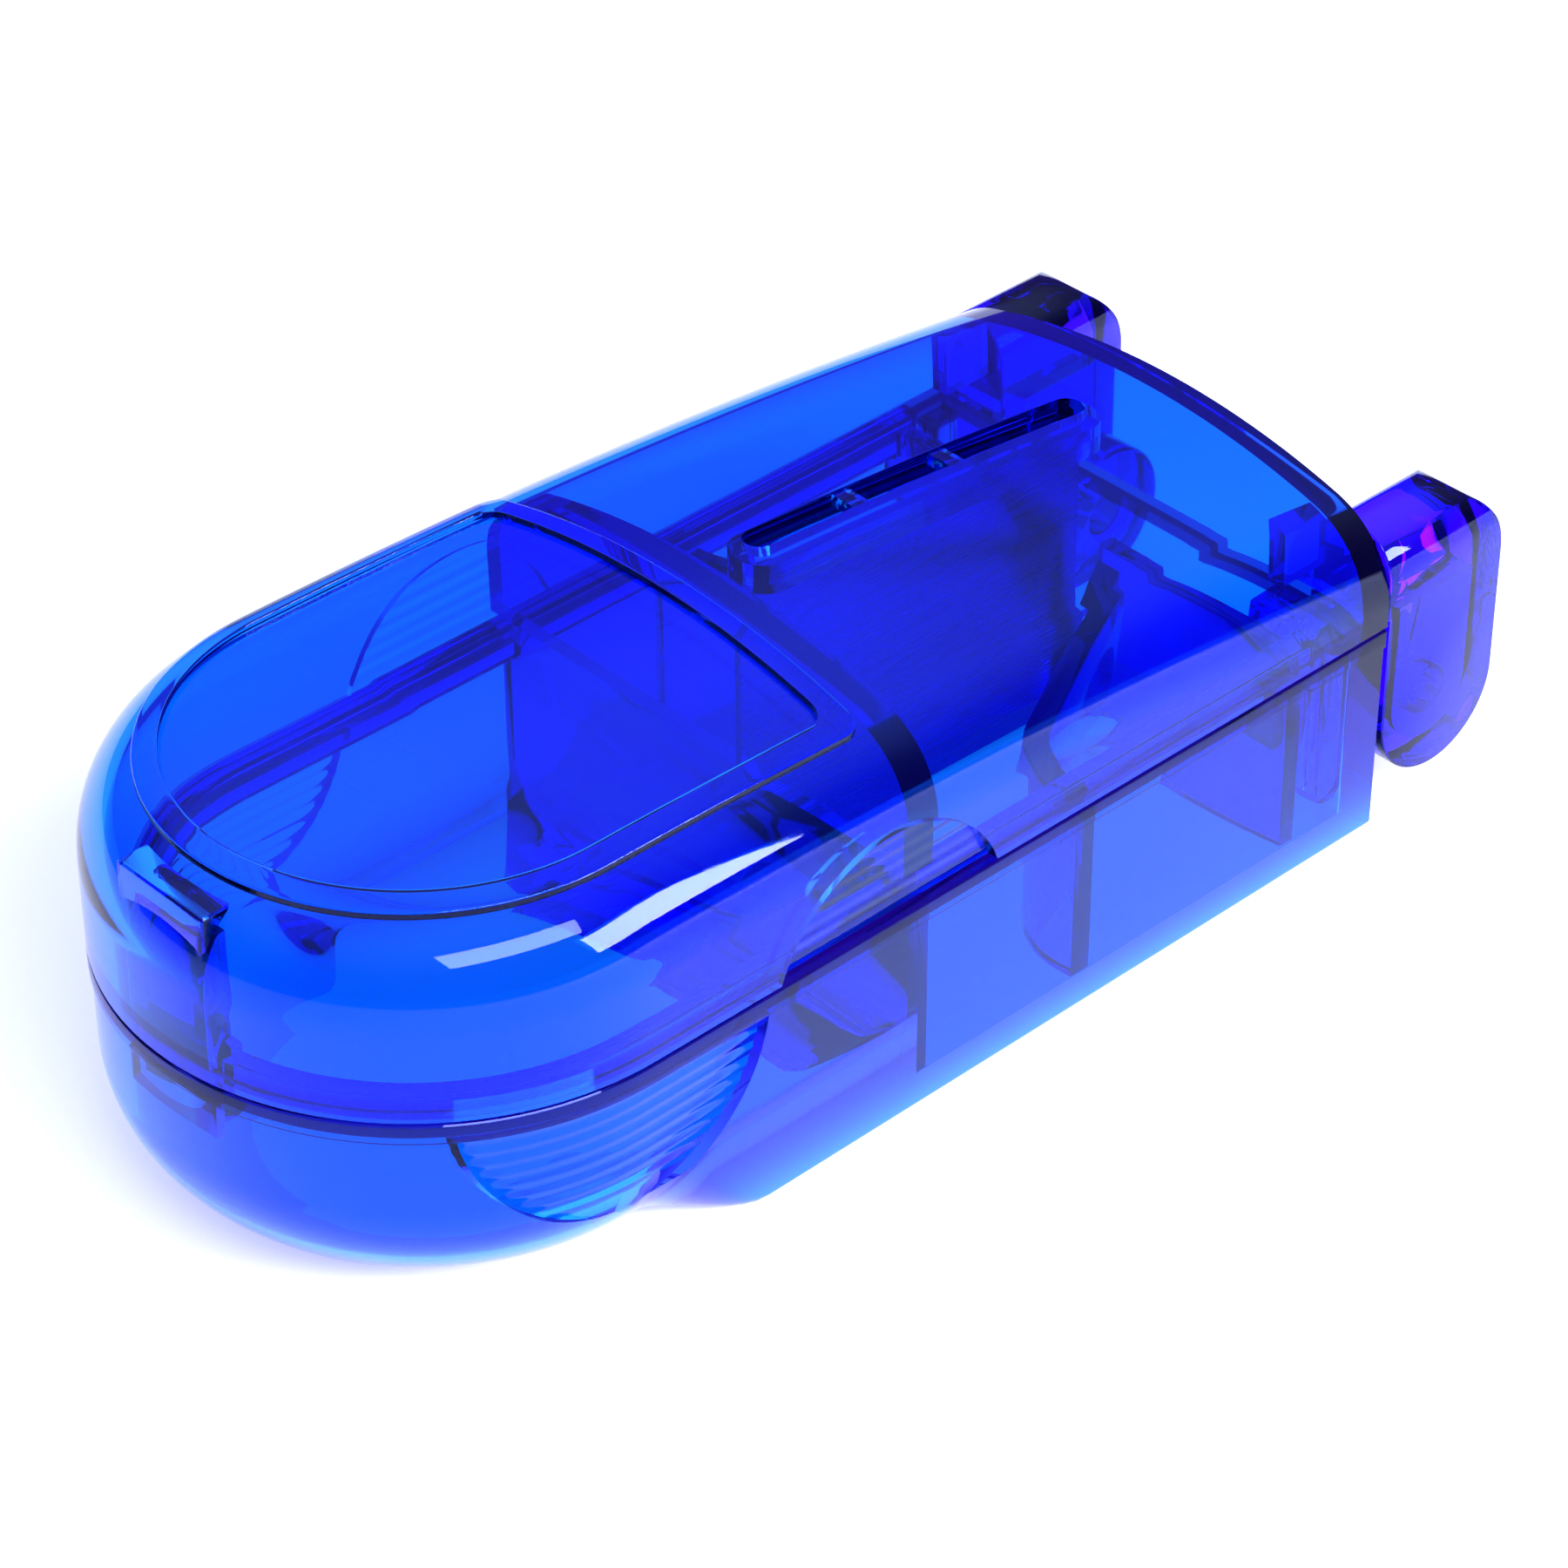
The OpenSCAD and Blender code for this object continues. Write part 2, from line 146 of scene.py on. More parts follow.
@dataclass(frozen=True)
class ClearPlastic:
    """Dyed transparent styrene plastic, injection moulded in a polished tool.

    The dye sits in the body of the plastic, so a wall seen edge-on turns deep violet blue, while a
    wall seen face-on stays a light, bright blue. The polished tool leaves a glossy face with a
    faint, slow waviness where the plastic shrank as it cooled.

    Attributes:
        name: The material's name.
        tint: Colour that each face lets through.
        dye: Colour that the plastic lets through with depth.
        density: How fast the dye takes effect, per metre.
        glint: Tint of its head-on reflections.
        gloss: Level of its head-on reflections; 0.5 is bare plastic.
        roughness: Middle roughness of the face.
        spread: Lowest and highest roughness, as parts of the middle one.
        ior: Index of refraction.
        sink_mm: Length of the slow waviness.
        wave: Strength of that waviness.
        wave_mm: Height of that waviness.
        haze_mm: Size of the handling haze; the real one is finer, and is drawn so that it shows.
        haze: The part of the noise that the haze follows.
        wear: How much more light a rubbed place lets through.
        parting_shade: Colour of the strip along the parting line: painted shade in the ledge
            there.
        parting_shade_mm: Lower and upper edge of that strip, above the table; equal leaves it out.
    """

    name: str
    tint: str
    dye: str
    density: float
    glint: str = "#8898FF"
    gloss: float = 0.4
    roughness: float = 0.025
    spread: tuple[float, float] = (0.5, 1.8)
    ior: float = 1.5
    sink_mm: float = 9.0
    wave: float = 0.12
    wave_mm: float = 0.05
    haze_mm: float = 1.3
    haze: tuple[float, float] = (0.35, 0.75)
    wear: float = 1.05
    # The parting line strip below is painted shade, for the shadow in the ledge under the lid.
    parting_shade: str = "#0C0450"
    parting_shade_mm: tuple[float, float] = (13.25, 14.05)

    def build(self) -> bpy.types.Material:
        """Makes the Blender material.

        Returns:
            The finished material.
        """
        material = bpy.data.materials.new(self.name)
        material.use_nodes = True
        tree = material.node_tree
        shader = tree.nodes["Principled BSDF"]
        shader.inputs["Transmission Weight"].default_value = 1.0
        shader.inputs["IOR"].default_value = self.ior
        shader.inputs["Specular IOR Level"].default_value = self.gloss
        shader.inputs["Specular Tint"].default_value = linear(self.glint)
        place = add_node(tree, "ShaderNodeTexCoord").outputs["Object"]
        slow = add_node(
            tree,
            "ShaderNodeTexNoise",
            inputs={"Scale": 1 / (self.sink_mm * MM), "Detail": 1.0},
            links={"Vector": place},
        )
        fine = add_node(
            tree,
            "ShaderNodeTexNoise",
            inputs={"Scale": 1 / (self.haze_mm * MM), "Detail": 3.0},
            links={"Vector": place},
        )
        rough = add_node(
            tree,
            "ShaderNodeMapRange",
            inputs={
                "From Min": self.haze[0],
                "From Max": self.haze[1],
                "To Min": self.roughness * self.spread[0],
                "To Max": self.roughness * self.spread[1],
            },
            links={"Value": fine.outputs["Fac"]},
        )
        tree.links.new(rough.outputs["Result"], shader.inputs["Roughness"])
        pale = linear(self.tint)
        worn = tuple(min(1.0, c * self.wear) for c in pale[:3]) + (1.0,)
        colour = add_node(
            tree,
            "ShaderNodeMix",
            settings={"data_type": "RGBA"},
            inputs={6: pale, 7: worn},
            links={"Factor": slow.outputs["Fac"]},
        )
        # Painted shade: a dark strip on the parting line, for the shadow in the ledge under the
        # lid.
        strip = self.strip(tree, place)
        edged = add_node(
            tree,
            "ShaderNodeMix",
            settings={"data_type": "RGBA"},
            inputs={7: linear(self.parting_shade)},
            links={"Factor": strip, 6: colour.outputs[2]},
        )
        tree.links.new(edged.outputs[2], shader.inputs["Base Color"])
        wave = add_node(
            tree,
            "ShaderNodeBump",
            inputs={"Strength": self.wave, "Distance": self.wave_mm * MM},
            links={"Height": slow.outputs["Fac"]},
        )
        tree.links.new(wave.outputs["Normal"], shader.inputs["Normal"])
        depth = add_node(
            tree,
            "ShaderNodeVolumeAbsorption",
            inputs={"Color": linear(self.dye), "Density": self.density},
        )
        tree.links.new(depth.outputs["Volume"], tree.nodes["Material Output"].inputs["Volume"])
        return material

    def strip(self, tree: bpy.types.NodeTree, place: bpy.types.NodeSocket) -> bpy.types.NodeSocket:
        """Makes the mask of the painted shade strip that follows the parting line.

        Args:
            tree: The material's node tree.
            place: Object coordinates.

        Returns:
            A socket that is 1 inside the strip and 0 outside it.
        """
        height = add_node(tree, "ShaderNodeSeparateXYZ", links={"Vector": place}).outputs["Z"]
        low, high = (edge * MM for edge in self.parting_shade_mm)
        return add_node(
            tree,
            "ShaderNodeMath",
            settings={"operation": "COMPARE"},
            inputs={1: (low + high) / 2, 2: (high - low) / 2},
            links={0: height},
        ).outputs["Value"]


@dataclass(frozen=True)
class GroundSteel:
    """Stainless strip, surface ground along its length, as on a thin cutting blade.

    The grinding leaves fine lines along the blade that blur each reflection across them. The
    steel is seen only through the blue case, so it reads as a dark blue band.

    Attributes:
        name: The material's name.
        colour: Colour of the crests between the lines.
        dark: Colour in the lines.
        line_mm: Distance between lines; real ones are about 0.03 mm apart, too fine to show.
        stretch: Scale of the pattern along the blade, so that it draws out into lines.
        roughness: Lowest and highest roughness.
        relief: Strength of the lines' relief.
        relief_mm: Depth of the lines.
    """

    name: str = "ground_stainless_steel"
    colour: str = "#1E38D2"
    dark: str = "#1A30BC"
    line_mm: float = 0.25
    stretch: float = 0.03
    roughness: tuple[float, float] = (0.18, 0.38)
    relief: float = 0.04
    relief_mm: float = 0.01

    def build(self) -> bpy.types.Material:
        """Makes the Blender material.

        Returns:
            The finished material.
        """
        material = bpy.data.materials.new(self.name)
        material.use_nodes = True
        tree = material.node_tree
        shader = tree.nodes["Principled BSDF"]
        shader.inputs["Metallic"].default_value = 1.0
        place = add_node(tree, "ShaderNodeTexCoord").outputs["Object"]
        along = add_node(
            tree,
            "ShaderNodeMapping",
            inputs={"Scale": (1.0, self.stretch, 1.0)},
            links={"Vector": place},
        )
        lines = add_node(
            tree,
            "ShaderNodeTexNoise",
            inputs={"Scale": 1 / (self.line_mm * MM), "Detail": 4.0},
            links={"Vector": along.outputs["Vector"]},
        )
        colour = add_node(
            tree,
            "ShaderNodeMix",
            settings={"data_type": "RGBA"},
            inputs={6: linear(self.dark), 7: linear(self.colour)},
            links={"Factor": lines.outputs["Fac"]},
        )
        tree.links.new(colour.outputs[2], shader.inputs["Base Color"])
        rough = add_node(
            tree,
            "ShaderNodeMapRange",
            inputs={"To Min": self.roughness[0], "To Max": self.roughness[1]},
            links={"Value": lines.outputs["Fac"]},
        )
        tree.links.new(rough.outputs["Result"], shader.inputs["Roughness"])
        bump = add_node(
            tree,
            "ShaderNodeBump",
            inputs={"Strength": self.relief, "Distance": self.relief_mm * MM},
            links={"Height": lines.outputs["Fac"]},
        )
        tree.links.new(bump.outputs["Normal"], shader.inputs["Normal"])
        return material


@dataclass(frozen=True)
class MattPaper:
    """Pale translucent paper lit from below, as on a product table.

    Its matt tooth leaves no reflections, and the light from below keeps shadows on it faint and
    shines up into the clear case.

    Attributes:
        name: The material's name.
        colour: Colour of the sheet, by its own light and by light that falls on it.
        glow: Brightness of the light from below.
        tooth_mm: Size of the tooth; the real one is finer, and is drawn so that it shows.
        roughness: Lowest and highest roughness.
    """

    name: str = "pale_paper"
    colour: str = "#C6C8CC"
    glow: float = 0.53
    tooth_mm: float = 2.0
    roughness: tuple[float, float] = (0.7, 0.9)

    def build(self) -> bpy.types.Material:
        """Makes the Blender material.

        Returns:
            The finished material.
        """
        material = bpy.data.materials.new(self.name)
        material.use_nodes = True
        tree = material.node_tree
        shader = tree.nodes["Principled BSDF"]
        shader.inputs["Base Color"].default_value = linear(self.colour)
        shader.inputs["Emission Color"].default_value = linear(self.colour)
        shader.inputs["Emission Strength"].default_value = self.glow / linear(self.colour)[1]
        place = add_node(tree, "ShaderNodeTexCoord").outputs["Object"]
        tooth = add_node(
            tree,
            "ShaderNodeTexNoise",
            inputs={"Scale": 1 / (self.tooth_mm * MM), "Detail": 2.0},
            links={"Vector": place},
        )
        rough = add_node(
            tree,
            "ShaderNodeMapRange",
            inputs={"To Min": self.roughness[0], "To Max": self.roughness[1]},
            links={"Value": tooth.outputs["Fac"]},
        )
        tree.links.new(rough.outputs["Result"], shader.inputs["Roughness"])
        return material


# ---------------------------------------------------------------- mesh helpers


def scratch(bm: bmesh.types.BMesh, name: str = "tool") -> bpy.types.Object:
    """Turns a bmesh, built in millimetres, into an object in metres, and frees the bmesh.

    Args:
        bm: The shape in millimetres.
        name: The object's name.

    Returns:
        The linked object.
    """
    bmesh.ops.recalc_face_normals(bm, faces=bm.faces)
    bmesh.ops.scale(bm, vec=(MM, MM, MM), verts=bm.verts)
    mesh = bpy.data.meshes.new(name)
    bm.to_mesh(mesh)
    bm.free()
    thing = bpy.data.objects.new(name, mesh)
    bpy.context.scene.collection.objects.link(thing)
    return thing


def combine(target: bpy.types.Object, tool: bpy.types.Object, how: Cut) -> None:
    """Cuts, joins or intersects a shape with a tool, and removes the tool.

    Args:
        target: The object that is changed.
        tool: The object that is used up.
        how: What to do with the tool.
    """
    modifier = target.modifiers.new("combine", "BOOLEAN")
    modifier.operation = how.value
    modifier.solver = "EXACT"
    modifier.object = tool
    graph = bpy.context.evaluated_depsgraph_get()
    made = bpy.data.meshes.new_from_object(target.evaluated_get(graph))
    target.modifiers.clear()
    spent = target.data
    target.data = made
    bpy.data.meshes.remove(spent)
    bpy.data.objects.remove(tool)


def smooth(mesh: bpy.types.Mesh, angle_deg: float = 28.0) -> None:
    """Shades a mesh smooth, with its real edges kept sharp.

    Args:
        mesh: The mesh to shade.
        angle_deg: Two faces that turn by more than this meet in a sharp edge.
    """
    mesh.shade_smooth()
    mesh.set_sharp_from_angle(angle=math.radians(angle_deg))


def tidy_mesh(thing: bpy.types.Object, weld_mm: float = 0.002) -> None:
    """Welds the slivers that booleans leave and drops loose points.

    Args:
        thing: The object whose mesh is cleaned.
        weld_mm: Points closer than this become one.
    """
    bm = bmesh.new()
    bm.from_mesh(thing.data)
    bmesh.ops.remove_doubles(bm, verts=bm.verts, dist=weld_mm * MM)
    bmesh.ops.dissolve_degenerate(bm, dist=weld_mm * MM, edges=bm.edges)
    loose = [v for v in bm.verts if not v.link_faces]
    bmesh.ops.delete(bm, geom=loose, context="VERTS")
    bm.to_mesh(thing.data)
    bm.free()


def sharp_edges(bm: bmesh.types.BMesh, angle_deg: float) -> list[bmesh.types.BMEdge]:
    """Finds the outward edges at which two faces meet by more than an angle.

    Args:
        bm: The mesh to look at.
        angle_deg: The smallest turn that counts.

    Returns:
        The edges found.
    """
    limit = math.radians(angle_deg)
    return [
        e
        for e in bm.edges
        if len(e.link_faces) == 2 and e.calc_face_angle_signed(0.0) > limit
    ]


def soften(bm: bmesh.types.BMesh, edges: list, radius: float, segments: int = 2) -> None:
    """Rounds edges with a small bevel.

    Args:
        bm: The mesh to change.
        edges: The edges to round.
        radius: Offset of the bevel, in the mesh's own unit.
        segments: Steps across the bevel.
    """
    bmesh.ops.bevel(
        bm,
        geom=edges,
        offset=radius,
        offset_type="OFFSET",
        affect="EDGES",
        segments=segments,
        profile=0.5,
        material=-1,
        clamp_overlap=True,
    )


def block(low: Sequence[float], high: Sequence[float], round_mm: float = 0.0) -> bmesh.types.BMesh:
    """Makes a box between two corners, with optional rounded edges.

    Args:
        low: Lowest corner.
        high: Highest corner.
        round_mm: Radius of all its edges.

    Returns:
        The box as a bmesh in millimetres.
    """
    bm = bmesh.new()
    bmesh.ops.create_cube(bm, size=1.0)
    size = [b - a for a, b in zip(low, high)]
    middle = [(a + b) / 2 for a, b in zip(low, high)]
    bmesh.ops.scale(bm, vec=size, verts=bm.verts)
    bmesh.ops.translate(bm, vec=middle, verts=bm.verts)
    if round_mm:
        soften(bm, bm.edges[:], round_mm, 3)
    return bm


def points_of(made: Iterable) -> list[bmesh.types.BMVert]:
    """Picks the points out of what an operator made."""
    return [g for g in made if isinstance(g, bmesh.types.BMVert)]


def chain(bm: bmesh.types.BMesh, start: Vector) -> bmesh.types.BMVert:
    """Starts a wire with one point."""
    return bm.verts.new(start)


def line_to(bm: bmesh.types.BMesh, tip: bmesh.types.BMVert, end: Vector) -> bmesh.types.BMVert:
    """Draws a straight edge from the tip of a wire.

    Args:
        bm: The mesh that holds the wire.
        tip: The wire's last point.
        end: Where the edge ends.

    Returns:
        The new tip.
    """
    made = bmesh.ops.extrude_vert_indiv(bm, verts=[tip])
    new_tip = made["verts"][0]
    new_tip.co = end
    return new_tip


def arc_to(
    bm: bmesh.types.BMesh,
    tip: bmesh.types.BMVert,
    centre: Vector,
    axis: Vector,
    degrees: float,
    steps: int,
) -> bmesh.types.BMVert:
    """Turns the tip of a wire round a centre, leaving an arc of edges.

    Args:
        bm: The mesh that holds the wire.
        tip: The wire's last point.
        centre: The arc's centre.
        axis: The axis that it turns about.
        degrees: How far it turns.
        steps: Edges along the arc.

    Returns:
        The new tip.
    """
    made = bmesh.ops.spin(
        bm, geom=[tip], cent=centre, axis=axis, angle=math.radians(degrees), steps=steps
    )
    return points_of(made["geom_last"])[0]


def in_plane(bm: bmesh.types.BMesh, axis: int, value: float) -> list[bmesh.types.BMEdge]:
    """Finds the open or wire edges that lie in a plane across an axis.

    Args:
        bm: The mesh to look at.
        axis: 0, 1 or 2 for X, Y or Z.
        value: The plane's place on that axis.

    Returns:
        The edges found.
    """
    return [
        e
        for e in bm.edges
        if len(e.link_faces) < 2 and all(abs(v.co[axis] - value) < SAME for v in e.verts)
    ]


def swing_nose(bm: bmesh.types.BMesh, y: float, steps: int = NOSE_STEPS) -> None:
    """Sweeps half a section round the nose, from the right side to the left.

    Args:
        bm: The mesh, which holds the half section as a wire.
        y: Place of the nose's upright axis.
        steps: Steps of the half turn.
    """
    bmesh.ops.spin(
        bm,
        geom=bm.edges[:] + bm.verts[:],
        cent=(0, y, 0),
        axis=(0, 0, 1),
        angle=-math.pi,
        steps=steps,
    )
    bmesh.ops.remove_doubles(bm, verts=bm.verts, dist=SAME)


def run_back(bm: bmesh.types.BMesh, y: float, end: float) -> None:
    """Carries the open section behind the nose straight back, and closes its end.

    Args:
        bm: The mesh with the swept nose.
        y: Where the open section is.
        end: Where the straight part ends.
    """
    made = bmesh.ops.extrude_edge_only(bm, edges=in_plane(bm, 1, y))["geom"]
    for point in points_of(made):
        point.co.y = end
    bmesh.ops.contextual_create(bm, geom=in_plane(bm, 1, end))


def raise_plan(
    bm: bmesh.types.BMesh, tip: bmesh.types.BMVert, first: bmesh.types.BMVert, height: float
) -> None:
    """Closes a level wire, fills it and raises it into an upright prism.

    Args:
        bm: The mesh that holds the wire.
        tip: The wire's last point.
        first: The wire's first point.
        height: Height of the prism.
    """
    bmesh.ops.contextual_create(bm, geom=[tip, first])
    bmesh.ops.contextual_create(bm, geom=bm.edges[:])
    made = bmesh.ops.extrude_face_region(bm, geom=bm.faces[:])["geom"]
    bmesh.ops.translate(bm, vec=(0, 0, height), verts=points_of(made))


# ---------------------------------------------------------------- pieces


@dataclass
class Workshop:
    """Dresses finished shapes, seats them on their bodies and keeps count.

    Attributes:
        finishes: The material of each record slot.
        nodes: The CAD nodes by name.
        made: Names of the finished pieces.
        weld_mm: Points of a CAD node closer than this are merged.
        flat_deg: Two faces of a CAD node that turn by less than this are one face.
        corner_deg: An outward edge that turns by more than this is rounded.
        crease_deg: An edge that turns by more than this is shaded sharp.
        spike: A point that would move by more than this many hairlines moves by one.
    """

    finishes: dict[Slot, bpy.types.Material]
    nodes: dict
    made: list[str] = field(default_factory=list)
    weld_mm: float = 0.001
    flat_deg: float = 0.6
    corner_deg: float = 50.0
    crease_deg: float = 32.0
    spike: float = 3.0

    def finish(
        self, thing: bpy.types.Object, name: str, body: Body, slot: Slot, nodes: Iterable[str]
    ) -> bpy.types.Object:
        """Names a piece, gives it its material and lets it stand for its CAD nodes.

        Args:
            thing: The finished shape.
            name: The piece's name.
            body: The body it rides on.
            slot: The record slot of its finish.
            nodes: The CAD nodes that it replaces.

        Returns:
            The same object.
        """
        thing.name = name
        thing.data.name = name
        thing.data.materials.clear()
        thing.data.materials.append(self.finishes[slot])
        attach(thing, body.value)
        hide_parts(*nodes)
        self.made.append(name)
        LOG.info("%s: %d faces", name, len(thing.data.polygons))
        return thing

    def from_frame(self, node: str, body: Body, slot: Slot, round_mm: float) -> bpy.types.Object:
        """Makes a piece from a merged copy of a CAD node: edges softened, drawn in by a hairline.

        Args:
            node: The CAD node.
            body: The body the piece rides on.
            slot: The record slot of its finish.
            round_mm: Radius of its outward edges; 0 leaves them crisp.

        Returns:
            The finished piece.
        """
        bm = bmesh.new()
        bm.from_mesh(self.nodes[node].data)
        bmesh.ops.remove_doubles(bm, verts=bm.verts, dist=self.weld_mm * MM)
        bmesh.ops.dissolve_limit(
            bm,
            angle_limit=math.radians(self.flat_deg),
            verts=bm.verts,
            edges=bm.edges,
            delimit=set(),
        )
        if round_mm:
            soften(bm, sharp_edges(bm, self.corner_deg), round_mm * MM, 3)
        bm.normal_update()
        moves = [(v, v.normal * v.calc_shell_factor()) for v in bm.verts]
        for vert, way in moves:
            step = way if way.length < self.spike else vert.normal
            vert.co -= step * (AIR * MM)
        mesh = bpy.data.meshes.new(node)
        bm.to_mesh(mesh)
        bm.free()
        thing = bpy.data.objects.new(node, mesh)
        bpy.context.scene.collection.objects.link(thing)
        smooth(mesh, self.crease_deg)
        return self.finish(thing, node + "_piece", body, slot, [node])


@dataclass
class FingerScoop:
    """Round, crisp-edged scoop in both side walls, with fine level ridges on its face.

    Attributes:
        y: Middle of the scoop along the case.
        z: Height of the scoop's middle.
        radius: Radius of its rim.
        outer: Half width of the case at the wall.
        nose_y: Where the straight sides begin.
        low_z: Lowest height that is cut.
        high_z: Greatest height that is cut.
        ridge_z: Height of the lowest ridge.
        count: Number of ridges.
        depth: Depth of the scoop.
        pitch: Distance between two ridges.
        ridge: Thickness of a ridge.
        rise: Height of a ridge above the scoop's face.
        taper: Half of the height of a ridge's slope, as a share of its thickness.
        core_end: Rear end of the block that stays standing.
        rim_steps: Steps round the rim.
    """

    y: float
    z: float
    radius: float
    outer: float
    nose_y: float
    low_z: float
    high_z: float
    ridge_z: float
    count: int
    depth: float = 0.7
    pitch: float = 0.85
    ridge: float = 0.4
    rise: float = 0.07
    taper: float = 0.25
    core_end: float = 28.0
    rim_steps: int = 128

    def core(self) -> bpy.types.Object:
        """Makes what stays standing inside the scoop: a D-shaped block with ridged sides.

        Returns:
            The block.
        """
        bm = bmesh.new()
        face = self.outer - self.depth
        y = self.nose_y
        bottom, top = self.low_z - 1, self.high_z + 1
        tip = chain(bm, Vector((0, y, bottom)))
        tip = line_to(bm, tip, Vector((face, y, bottom)))
        slope = self.ridge * self.taper
        for number in range(self.count):
            foot = self.ridge_z + number * self.pitch
            for out, up in (
                (0, -slope),
                (self.rise, slope),
                (self.rise, self.ridge - slope),
                (0, self.ridge + slope),
            ):
                tip = line_to(bm, tip, Vector((face + out, y, foot + up)))
        tip = line_to(bm, tip, Vector((face, y, top)))
        line_to(bm, tip, Vector((0, y, top)))
        swing_nose(bm, y)
        run_back(bm, y, self.core_end)
        return scratch(bm)

    def carve(self, wall: bpy.types.Object) -> None:
        """Cuts the scoop into both sides of a wall.

        Args:
            wall: The shell to cut.
        """
        bm = bmesh.new()
        bmesh.ops.create_cone(
            bm,
            cap_ends=True,
            segments=self.rim_steps,
            radius1=self.radius,
            radius2=self.radius,
            depth=2 * self.outer + 4,
            matrix=Matrix.Rotation(math.pi / 2, 4, "Y"),
        )
        bmesh.ops.translate(bm, vec=(0, self.y, self.z), verts=bm.verts)
        tool = scratch(bm)
        # The band is wider and longer than the case, so that it only limits the height.
        band = block((-30, -60, self.low_z), (30, 40, self.high_z))
        combine(tool, scratch(band), Cut.KEEP)
        combine(tool, self.core(), Cut.AWAY)
        combine(wall, tool, Cut.AWAY)


@dataclass
class BaseMoulding:
    """The lower half: a tub with a bowed nose, walls inside it and two hinge knuckles.

    Attributes:
        shop: Where its pieces are finished.
        half_w: Half of the width at the rim band.
        step: How far the wall stands in from the band.
        wall: Thickness of the walls.
        floor: Thickness of the floor.
        rim_z: Height of the rim.
        band_h: Height of the rim band.
        nose_y: Where the straight sides begin.
        blend_y: Where the large bottom radius has run out.
        rear_y: The rear face.
        bow_r: Bottom radius at the nose.
        heel_r: Bottom radius at the rear.
        bowl_r: Radius inside the compartment.
        chamber_r: Radius in the rear corners of the chamber.
        part_y: Middle of the partition.
        rim_r: Radius on the outer edge of the rim.
        blend_steps: Sections in which the bottom radius runs out.
        tongue_w: Width of the latch tongue.
        recess_play: Gap on both sides of the tongue in its recess.
        recess_y: Front and rear of the recess, from the inside of the front wall.
        recess_z: Lowest and highest point of the recess.
        blade_y: Front end of the blade.
        blade_len: Length of the blade.
        groove_half: Half of the width of the groove under the blade's edge.
        groove_ends: How far the groove runs on past the blade's front and rear end.
        groove_depth: Depth of the groove.
    """

    shop: Workshop
    half_w: float = 18.0
    step: float = 0.15
    wall: float = 1.8
    floor: float = 1.6
    rim_z: float = 14.0
    band_h: float = 1.2
    nose_y: float = -24.0
    blend_y: float = -16.0
    rear_y: float = 32.0
    bow_r: float = 8.0
    heel_r: float = 0.5
    bowl_r: float = 5.0
    chamber_r: float = 0.4
    part_y: float = -4.3
    rim_r: float = 0.2
    blend_steps: int = 10
    tongue_w: float = 5.8
    recess_play: float = 0.4
    recess_y: tuple[float, float] = (-0.5, 2.5)
    recess_z: tuple[float, float] = (10.0, 12.2)
    blade_y: float = -0.55
    blade_len: float = 25.3
    groove_half: float = 0.6
    groove_ends: tuple[float, float] = (0.6, 0.2)
    groove_depth: float = 0.5

    def outside(self) -> bpy.types.Object:
        """Makes the outer skin as a closed solid.

        Returns:
            The solid, nose to rear.
        """
        bm = bmesh.new()
        side = self.half_w - self.step
        top = self.rim_z - AIR
        band_z = self.rim_z - self.band_h
        y = self.nose_y
        across = Vector((0, 1, 0))
        tip = chain(bm, Vector((0, y, 0)))
        tip = line_to(bm, tip, Vector((side - self.bow_r, y, 0)))
        centre = Vector((side - self.bow_r, y, self.bow_r))
        tip = arc_to(bm, tip, centre, across, -90, QUARTER_STEPS)
        tip = line_to(bm, tip, Vector((side, y, band_z)))
        tip = line_to(bm, tip, Vector((self.half_w, y, band_z)))
        tip = line_to(bm, tip, Vector((self.half_w, y, top - self.rim_r)))
        centre = Vector((self.half_w - self.rim_r, y, top - self.rim_r))
        tip = arc_to(bm, tip, centre, across, -90, 3)
        line_to(bm, tip, Vector((0, y, top)))
        swing_nose(bm, y)
        loop = in_plane(bm, 1, y)
        was = self.bow_r
        for number in range(1, self.blend_steps + 1):
            share = number / self.blend_steps
            ease = share * share * (3 - 2 * share)
            radius = self.bow_r + (self.heel_r - self.bow_r) * ease
            place = y + (self.blend_y - y) * share
            loop = self.next_section(bm, loop, place, side, was, radius)
            was = radius
        loop = self.next_section(bm, loop, self.rear_y - AIR, side, was, was)
        bmesh.ops.contextual_create(bm, geom=loop)
        return scratch(bm, "base_shell_piece")

    def next_section(
        self, bm: bmesh.types.BMesh, loop: list, y: float, side: float, was: float, radius: float
    ) -> list:
        """Carries the section loop on to a new place and shrinks its bottom corners.

        Args:
            bm: The mesh.
            loop: Edges of the last section.
            y: Place of the new section.
            side: Half width at the wall.
            was: Bottom radius of the last section.
            radius: Bottom radius of the new one.

        Returns:
            Edges of the new section.
        """
        made = bmesh.ops.extrude_edge_only(bm, edges=loop)["geom"]
        for point in points_of(made):
            low = point.co.z <= was + SAME
            outer = abs(point.co.x) >= side - was - SAME
            if low and outer:
                corner = math.copysign(side, point.co.x)
                point.co.x = corner + (point.co.x - corner) * radius / was
                point.co.z = point.co.z * radius / was
            point.co.y = y
        return [g for g in made if isinstance(g, bmesh.types.BMEdge)]

